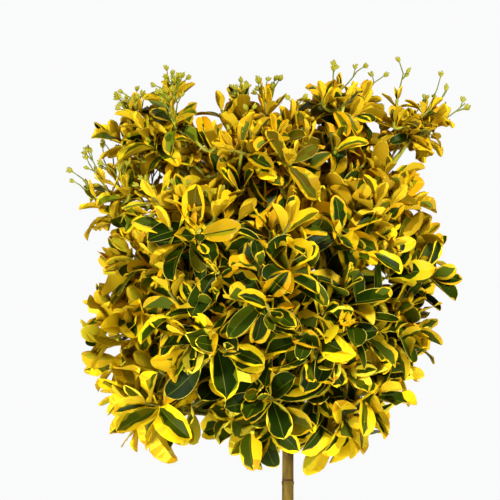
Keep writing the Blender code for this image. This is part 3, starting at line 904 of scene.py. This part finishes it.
def leaf_topology():
    """The faces of every leaf, front and back, as indices into its points."""
    rows, cols = len(ROWS), FRONT_COLUMNS
    front = np.arange(rows * cols).reshape(rows, cols)
    inner = np.arange((rows - 2) * BACK_COLUMNS).reshape(rows - 2, BACK_COLUMNS) + rows * cols
    back = np.column_stack((front[1:-1, 0], inner, front[1:-1, -1]))
    faces = []
    for r in range(rows - 1):
        for c in range(cols - 1):
            faces.append((*front[r, c : c + 2], *front[r + 1, c : c + 2][::-1]))
    for r in range(rows - 1):
        for c in range(BACK_COLUMNS + 1):
            near = back[r - 1, c : c + 2] if r > 0 else front[0, END_STRIPS[c]]
            far = back[r, c : c + 2] if r < rows - 2 else front[-1, END_STRIPS[c]]
            faces.append((*far, *near[::-1]))
    return [tuple(int(i) for i in face) for face in faces]


def leaf_slots(leaf):
    """The material slot of each face, in the order of leaf_topology."""
    colours = leaf.colours
    slots = []
    for r in range(len(ROWS) - 1):
        strips = []
        for green, patch in zip(leaf.green, leaf.patches):
            yellow = "orange_gold" if r >= leaf.burnt_from else colours["yellow"]
            inner = (colours["light"], colours["patch"] if r in patch else colours["green"])
            if (green[r] + green[r + 1]) / 2 < BARE:
                inner = (colours["tint"], colours["tint"])
            strips.append((colours["rim"], yellow, *inner))
        left, right = strips
        rib = colours["tint"] if left[-1] == right[-1] == colours["tint"] else "midrib"
        slots += [SLOTS[name] for name in (*left, rib, *right[::-1])]
    rim_under, middle_under = (SLOTS[name] for name in colours["under"])
    slots += [rim_under, middle_under, middle_under, rim_under] * (len(ROWS) - 1)
    return slots


def add_leaves(name, leaves, looks):
    topology = leaf_topology()
    points, faces, slots = [], [], []
    count = 0
    for leaf in leaves:
        front = leaf_surface(leaf, leaf_columns(leaf))
        inner = np.stack((-leaf.green[0], np.zeros(len(ROWS)), leaf.green[1]), axis=1)
        back = leaf_surface(leaf, inner, back=True)
        own = np.concatenate((front.reshape(-1, 3), back[1:-1].reshape(-1, 3)))
        points.append(bend_leaf(own, leaf))
        faces += [tuple(i + count for i in face) for face in topology]
        slots += leaf_slots(leaf)
        count += len(own)
    mesh = bpy.data.meshes.new(name)
    mesh.from_pydata(np.concatenate(points).tolist(), [], faces)
    piece = shaded(name, mesh, looks, SHARP_LEAF)
    mesh.polygons.foreach_set("material_index", slots)
    return piece


# Twigs and where their leaves go


def height_share(point):
    """0 at the bottom of the crown and 1 at its top."""
    return clamp((point.z - CROWN_MIDDLE.z) / CROWN_HALF_HEIGHT / 2 + 0.5)


def by_height(values, point):
    """One of three values: for the crown's bottom, its middle or its top."""
    return values[min(int(height_share(point) * 3), 2)]


def leaf_size(point, mass):
    plain = between(LEAF_LENGTHS, height_share(point) ** SHRINKING)
    return plain * (STRAY_LEAF if mass.stray else 1.0)


def fine_lines(line, index, mass, rng):
    """Finer twigs that leave a shoot and fan out round its tip within its reach."""
    lines = []
    tip = line[-1]
    reach = (tip - CORE).length
    out = (tip - CORE).normalized()
    count = by_height(FINE_TWIGS, tip)
    for k in range(count):
        angle = index * GOLDEN_ANGLE + k * 2 * math.pi / count + rng.uniform(-FINE_SWING, FINE_SWING)
        aside = turned(square_to(out), out, angle)
        if mass.stray and aside.z < 0:
            aside = -aside
        spread = by_height(FINE_SPREADS, tip) * rng.uniform(*SPREAD_RANGE)
        end = CORE + (tip + aside * spread - CORE).normalized() * reach * rng.uniform(*FINE_REACH)
        depth = depth_in(mass, end)
        if depth < OUTSIDE_DEPTH:
            end = end.lerp(tip - out * DRAWN_BACK, 0.5)
        if depth < FURROW_DEPTH:
            end = CORE.lerp(end, FURROW_REACH)
        foot, _ = along(line, FIRST_FINE + FINE_STEP * k)
        lines.append(risen(foot, end, out + aside * FINE_ASIDE))
    return lines


def risen(foot, end, way):
    """A twig from foot to end that arrives there turned up from its way."""
    rise = RISE if way.z > DROOP else RISE * DROOP_RISE
    arrive = (way.normalized() + UP * rise).normalized()
    return bezier(foot, end - arrive * (end - foot).length * BEND, end, TWIG_STEPS)


def gold_at(point):
    """How golden leaves are at a place: most at the top; low at the sides, partly painted light; least
    inside, painted shade.
    """
    up = height_share(point)
    rise = clamp((up - TOP_FROM) / TOP_OVER)
    upper = GOLD_TOP * rise * rise * (3 - 2 * rise) + GOLD_SLOPE * up
    foot = GOLD_FOOT[0] * (1 - up) ** GOLD_FOOT[1]
    # Low at the sides leaves are more golden: partly their own colour, partly painted light from behind the
    # edge leaves
    most, power = GOLD_AND_LIGHT_LEFT if point.x < CROWN_MIDDLE.x else GOLD_AND_LIGHT_RIGHT
    aside = abs(point.x - CROWN_MIDDLE.x) / HALF_WIDTH
    side = most * (1 - up) ** power * clamp(aside - SIDE_FROM, 0.0, SIDE_MOST)
    # Painted shade: leaves deep inside the crown lose gold and so take darker greens
    inside = 1 - min((point - CORE).length / INSIDE_RADIUS, 1.0)
    return GOLD_LEAST + upper + foot + side - PAINTED_SHADE_INSIDE * inside


def spray_colours(gold, place, rng):
    """The colours that one spray's leaves share, by how golden it is and where it grows."""
    up = height_share(place)
    # Low in the crown the yellows are brighter, partly painted light
    greens, yellows, lights = by_gold(GREENS_BY_GOLD, gold), LOW_BACKLIT_YELLOWS, LIGHTS
    under = ("under_gold", "under_lime" if gold > GOLDEN_UNDER else "under_green")
    if up < LOW and gold > GOLDEN:
        greens = LOW_GREENS
    if up > LOW:
        yellows = MIDDLE_YELLOWS
    if up > HIGH:
        greens += HIGH_GREENS
        under = ("under_gold", "under_mustard")
        if place.x > WARM_SIDE:
            yellows, lights = WARM_YELLOWS, WARM_LIGHTS
        else:
            greens, yellows = LEFT_GREENS, LEFT_YELLOWS
    green, yellow, light = (rng.choice(colours) for colours in (greens, yellows, lights))
    return {"green": green, "yellow": yellow, "light": light, "under": under}


def leaf_at(place, axis, angle, tilt, size, arch, spray, gold, rng):
    """A leaf that leaves a twig at an angle round it and a tilt from it, turned to the light."""
    outward = turned(square_to(axis), axis, angle)
    heading = leaning(axis, outward, tilt)
    own = axis * math.sin(tilt) - outward * math.cos(tilt)
    light = ((place - CORE).normalized() + LIGHT).normalized()
    face = square_to(heading, own.lerp(light, FACE_TURN))
    return Leaf(place, heading, face, size, arch, spray, gold, rng)


def turned_up(place, way):
    """The way that a twig's head of leaves faces: its twig's, turned outward and up."""
    outward = Vector((place.x - CORE.x, place.y - CORE.y, 0.0)).normalized() * HEAD_TURN
    rise = float(np.interp(height_share(place), HEAD_HEIGHTS, HEAD_RISES))
    return (way + outward + UP * rise).normalized()


def rosette(line, pairs, mass, rng):
    """The pairs of leaves round a twig's tip, each pair at right angles to the next."""
    tip = line[-1]
    length = length_of(line)
    turn = rng.uniform(0, math.pi)
    gold = gold_at(tip) + rng.uniform(-GOLD_SWING, GOLD_SWING)
    spray = spray_colours(gold, tip, rng)
    full = leaf_size(tip, mass)
    spacing = between(SPACINGS, height_share(tip))
    leaves = []
    for pair, (step, tilted, size, arch) in enumerate(PAIRS[:pairs]):
        back = min(step * spacing * rng.uniform(*STEP_RANGE), length * USED_LENGTH)
        place, way = along(line, 1 - back / length)
        axis = turned_up(place, way)
        # Pairs further down are less golden: partly their age, partly painted shade
        own_gold = gold - GOLD_AND_SHADE_STEP * pair
        for half in (0, math.pi):
            angle = turn + pair * math.pi / 2 + half + rng.uniform(-PAIR_SWING, PAIR_SWING)
            tilt = math.radians(tilted + rng.uniform(-TILT_SWING, TILT_SWING))
            own = full * size * rng.uniform(*SIZE_RANGE)
            leaves.append(leaf_at(place, axis, angle, tilt, own, arch, spray, own_gold, rng))
    return leaves


def inner_leaves(line, index, mass, rng):
    """A pair of old leaves further back on a shoot, less golden: partly their own green, partly painted
    shade.
    """
    turn = rng.uniform(0, math.pi)
    place, axis = along(line, INNER_SHARES[index % len(INNER_SHARES)])
    gold = gold_at(place) - GOLD_AND_SHADE_INNER
    spray = spray_colours(gold, place, rng)
    leaves = []
    for half in (0, math.pi):
        tilt = math.radians(rng.uniform(*INNER_TILTS))
        size = leaf_size(place, mass) * rng.uniform(*INNER_SIZES)
        leaves.append(leaf_at(place, axis, turn + half, tilt, size, INNER_ARCH, spray, gold, rng))
    return leaves


def twig_tube(line, first, last):
    """A twig's points and faces, with a swelling at each pair of leaves."""
    length = length_of(line)
    used = length * USED_LENGTH
    nodes = [pair[0] for pair in PAIRS if pair[0] < used] + list(np.arange(OLD_NODES, used, OLD_NODE_STEP))
    steps = [length * k / TUBE_STEPS for k in range(TUBE_STEPS + 1)]
    backs = sorted({*steps, *nodes, *(node + NODE_LENGTH for node in nodes)}, reverse=True)
    backs = [back for back in backs if back <= length]
    points = [along(line, 1 - back / length)[0] for back in backs]
    radii = []
    for back in backs:
        swell = max(hump(back - node, NODE_LENGTH) for node in nodes)
        radii.append(last + (first - last) * back / length + NODE_SWELL * swell)
    return tube(points, radii, TWIG_SIDES)


# Flower stalks


def fork(axis, spread, angle):
    """A direction that leaves an axis by so many degrees, turned by an angle round it."""
    return leaning(axis, turned(square_to(axis, FORK_SIDE), axis, angle), math.radians(spread))


def bud(foot, way, radius):
    """A pointed bud, as points and faces."""
    points = [foot + way * radius * 2 * BUD_LENGTH * share for share in BUD_SHARES]
    return tube(points, [radius * width for width in BUD_WIDTHS], BUD_SIDES)


def tuft(tip, way, rng):
    buds = [bud(tip, way, BUD_RADIUS * rng.uniform(*MIDDLE_BUD))]
    for k in range(rng.choice(SIDE_BUDS)):
        out = fork(way, rng.uniform(*BUD_SPREADS), k * BUD_TURN + rng.uniform(0, TURN_SWING))
        buds.append(bud(tip, out, BUD_RADIUS * rng.uniform(*SIDE_BUD)))
    return buds


def cyme(foot, axis, stalk, rng):
    """A flower stalk that forks, with a tuft of buds at the end of each branch."""
    aside = (rng.uniform(-STALK_ASIDE, STALK_ASIDE), rng.uniform(-STALK_ASIDE, STALK_ASIDE), STALK_RISE)
    way = (axis + Vector(aside)).normalized()
    length = stalk * rng.uniform(*STALK_RANGE)
    end = foot + axis * length * STALK_STRAIGHT + way * length * (1 - STALK_STRAIGHT)
    line = bezier(foot, foot + axis * length * BEND, end, STALK_STEPS)
    stalks = [tube(line, tapered(*STALK_RADII[:2], STALK_STEPS + 1), STALK_SIDES)]
    buds = []
    turn = rng.uniform(0, math.pi)
    for k in range(rng.choice(BRANCHES)):
        out = fork(way, rng.uniform(*BRANCH_SPREADS), turn + k * BRANCH_TURN)
        start = line[rng.choice(BRANCH_FEET)]
        tip = start + out * BRANCH_LENGTH * rng.uniform(*BRANCH_RANGE)
        stalks.append(tube([start, tip], STALK_RADII[1:], STALK_SIDES))
        buds += tuft(tip, out, rng)
    return stalks, buds


def cymes_on(line, stalk, count, rng):
    """The flower stalks at the topmost leaves of one twig."""
    stalks, buds = [], []
    for k in range(count):
        place, axis = along(line, 1 - STALK_DROP * k / length_of(line))
        way = fork(axis, rng.uniform(*STALK_SPREADS), k * STALK_TURN + rng.uniform(0, TURN_SWING))
        own_stalks, own_buds = cyme(place, way, stalk, rng)
        stalks += own_stalks
        buds += own_buds
    return stalks, buds


# Bark


def joint_heights():
    """The rings that old leaf pairs left on the trunk, up and down from the one that shows."""
    rng = random.Random(JOINT_SEED)
    heights = [JOINT_HEIGHT]
    for k in range(1, int(JOINT_HEIGHT / JOINT_STEP)):
        heights.append(JOINT_HEIGHT - k * JOINT_STEP + rng.uniform(-JOINT_SWING, JOINT_SWING))
    return heights + [JOINT_HEIGHT + JOINT_ABOVE]


def bark_trunk(bark, ring):
    """The trunk with low ridges, and a swelling and a groove at each old leaf joint."""
    rng = random.Random(BARK_SEED)
    joints = joint_heights()
    waves = []
    for _ in range(RIDGES):
        waves.append((rng.randint(*RIDGE_COUNTS), rng.uniform(*RIDGE_SLANTS), rng.uniform(0, 2 * math.pi)))
    verts = []
    for i in range(TRUNK_STEPS + 1):
        height = TRUNK_TOP * i / TRUNK_STEPS
        centre = trunk_point(height)
        swell = sum(hump(height - joint, JOINT_HALF) for joint in joints)
        groove = sum(hump(height - joint - GROOVE_RISE, GROOVE_HALF) for joint in joints)
        plain = trunk_radius(height) - BARK_DROP + JOINT_SWELL * swell - GROOVE_DEPTH * groove
        for k in range(BARK_SIDES):
            angle = 2 * math.pi * k / BARK_SIDES
            relief = sum(math.sin(n * angle + slant * height + phase) for n, slant, phase in waves) / RIDGES
            radius = plain + RIDGE_HEIGHT * relief + flare_lobes(height, angle)
            verts.append(centre + Vector((math.cos(angle), math.sin(angle), 0.0)) * radius)
    trunk = solid("trunk_bark", verts, tube_faces(TRUNK_STEPS + 1, BARK_SIDES), [bark, ring])
    for face in trunk.data.polygons:
        height = face.center.z
        angle = math.atan2(face.center.y, face.center.x)
        dip = RING_WAVE * math.sin(2 * angle + height * RING_SLANT)
        if any(RING_HEIGHTS[0] < height - joint - dip < RING_HEIGHTS[1] for joint in joints):
            face.material_index = 1
    return trunk


def bough_tubes():
    tubes = []
    for name in PLAN:
        line, first, last = bough(name)
        points = [along(line, k / BOUGH_STEPS)[0] for k in range(BOUGH_STEPS + 1)]
        tubes.append(tube(points, tapered(first, last, len(points)), BOUGH_SIDES))
    return tubes


# Studio and camera


def studio(floor_look):
    """Soft light, a pale world and a pale floor."""
    scene = bpy.context.scene
    scene.view_settings.view_transform = "Standard"
    world = bpy.data.worlds.new("studio")
    scene.world = world
    world.use_nodes = True
    nodes = world.node_tree.nodes
    soft = nodes["Background"]
    set_values(soft, {"Color": (1.0, 1.0, 1.0, 1.0), "Strength": WORLD_LIGHT})
    seen = nodes.new("ShaderNodeBackground")
    set_values(seen, {"Color": (*BACKDROP, 1.0)})
    mix = nodes.new("ShaderNodeMixShader")
    path = nodes.new("ShaderNodeLightPath")
    link(
        world.node_tree,
        (path, "Is Camera Ray", mix, "Fac"),
        (soft, "Background", mix, 1),
        (seen, "Background", mix, 2),
        (mix, "Shader", nodes["World Output"], "Surface"),
    )
    for name, lamp in LAMPS.items():
        add_lamp(name, *lamp)
    ends = [UP * height for height in FLOOR_HEIGHTS]
    disc = tube(ends, [FLOOR_RADIUS, FLOOR_RADIUS], FLOOR_SIDES)
    floor = solid("floor", *disc, [floor_look])


def add_lamp(name, place, size, power):
    light = bpy.data.lights.new(name, "AREA")
    light.size = size
    light.energy = power
    obj = placed(name, light)
    obj.location = place
    obj.rotation_euler = (CROWN_MIDDLE - Vector(place)).to_track_quat("-Z", "Y").to_euler()


def camera():
    """A level camera that frames what the photograph does."""
    lens = bpy.data.cameras.new("photo_view")
    lens.lens = lens.sensor_width * CAMERA_DISTANCE / (PHOTO_SIZE * METRES_PER_PIXEL)
    obj = placed("photo_view", lens)
    middle = PHOTO_SIZE / 2
    x = (middle - TRUNK_COLUMN) * METRES_PER_PIXEL + TRUNK_AT_COLUMN
    z = TOP_HEIGHT - (middle - TOP_ROW) * METRES_PER_PIXEL
    obj.location = (x, -CAMERA_DISTANCE, z)
    obj.rotation_euler = (math.radians(90), 0.0, 0.0)
    bpy.context.scene.camera = obj


# The whole plant


def grow():
    """All of the plant's leaves, twigs, flower stalks and buds."""
    leaves, stems, shoots, stalks, buds = [], [], [], [], []
    for mass in MASSES.values():
        rng = random.Random(LEAF_SEED + mass.seed)
        line, _, tip_radius = bough(mass.name)
        stem = stem_line(mass, line)
        sides = side_lines(mass, stem)
        stems.append(twig_tube(stem, tip_radius, TWIG_TIP_RADIUS))
        stems += [twig_tube(side, SHOOT_RADIUS, TWIG_TIP_RADIUS) for side in sides]
        ends = []
        for index, shoot in enumerate([stem] + sides):
            leaves += inner_leaves(shoot, index, mass, rng)
            fine = fine_lines(shoot, index, mass, rng)
            shoots += [twig_tube(own, FINE_RADIUS, TWIG_TIP_RADIUS) for own in fine]
            leaves += rosette(shoot, len(PAIRS), mass, rng)
            for own in fine:
                leaves += rosette(own, by_height(FINE_PAIRS, own[-1]), mass, rng)
            ends += [shoot] + fine
        twigs, stalk, each = CYMES.get(mass.name, (0, 0.0, 0))
        for own in sorted(ends, key=lambda end: -end[-1].z)[:twigs]:
            own_stalks, own_buds = cymes_on(own, stalk, each, rng)
            stalks += own_stalks
            buds += own_buds
    return leaves, stems, shoots, stalks, buds


def dress(piece, slot, *nodes):
    """Says what a piece rides on and hides the solids that it replaces; the slot is not used."""
    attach(piece, "root")
    if nodes:
        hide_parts(*nodes)


def main():
    leaves, stems, shoots, stalks, buds = grow()
    looks = leaf_looks()
    for number, start in enumerate(range(0, len(leaves), LEAVES_PER_PIECE), 1):
        piece = add_leaves("leaves_%d" % number, leaves[start : start + LEAVES_PER_PIECE], looks)
        dress(piece, "variegated_foliage", *(["foliage_" + name for name in PLAN] if start == 0 else []))
    plain = {name: plain_look(name, *finish) for name, finish in PLAIN.items()}
    bark = bark_look("old_bark", *OLD_BARK)
    dress(joined("stems", stems, bark_look("twig_bark", *TWIG_BARK)), "bark")
    dress(joined("young_shoots", shoots, plain["young_twig"]), "bark")
    dress(joined("flower_stalks", stalks, plain["flower_stalk"]), "bark")
    dress(joined("flower_buds", buds, plain["flower_bud"]), "variegated_foliage")
    dress(bark_trunk(bark, plain["bark_ring"]), "bark", "trunk")
    dress(joined("boughs", bough_tubes(), bark), "bark", *["bough_" + name for name in PLAN])
    studio(plain["pale_floor"])
    camera()


main()
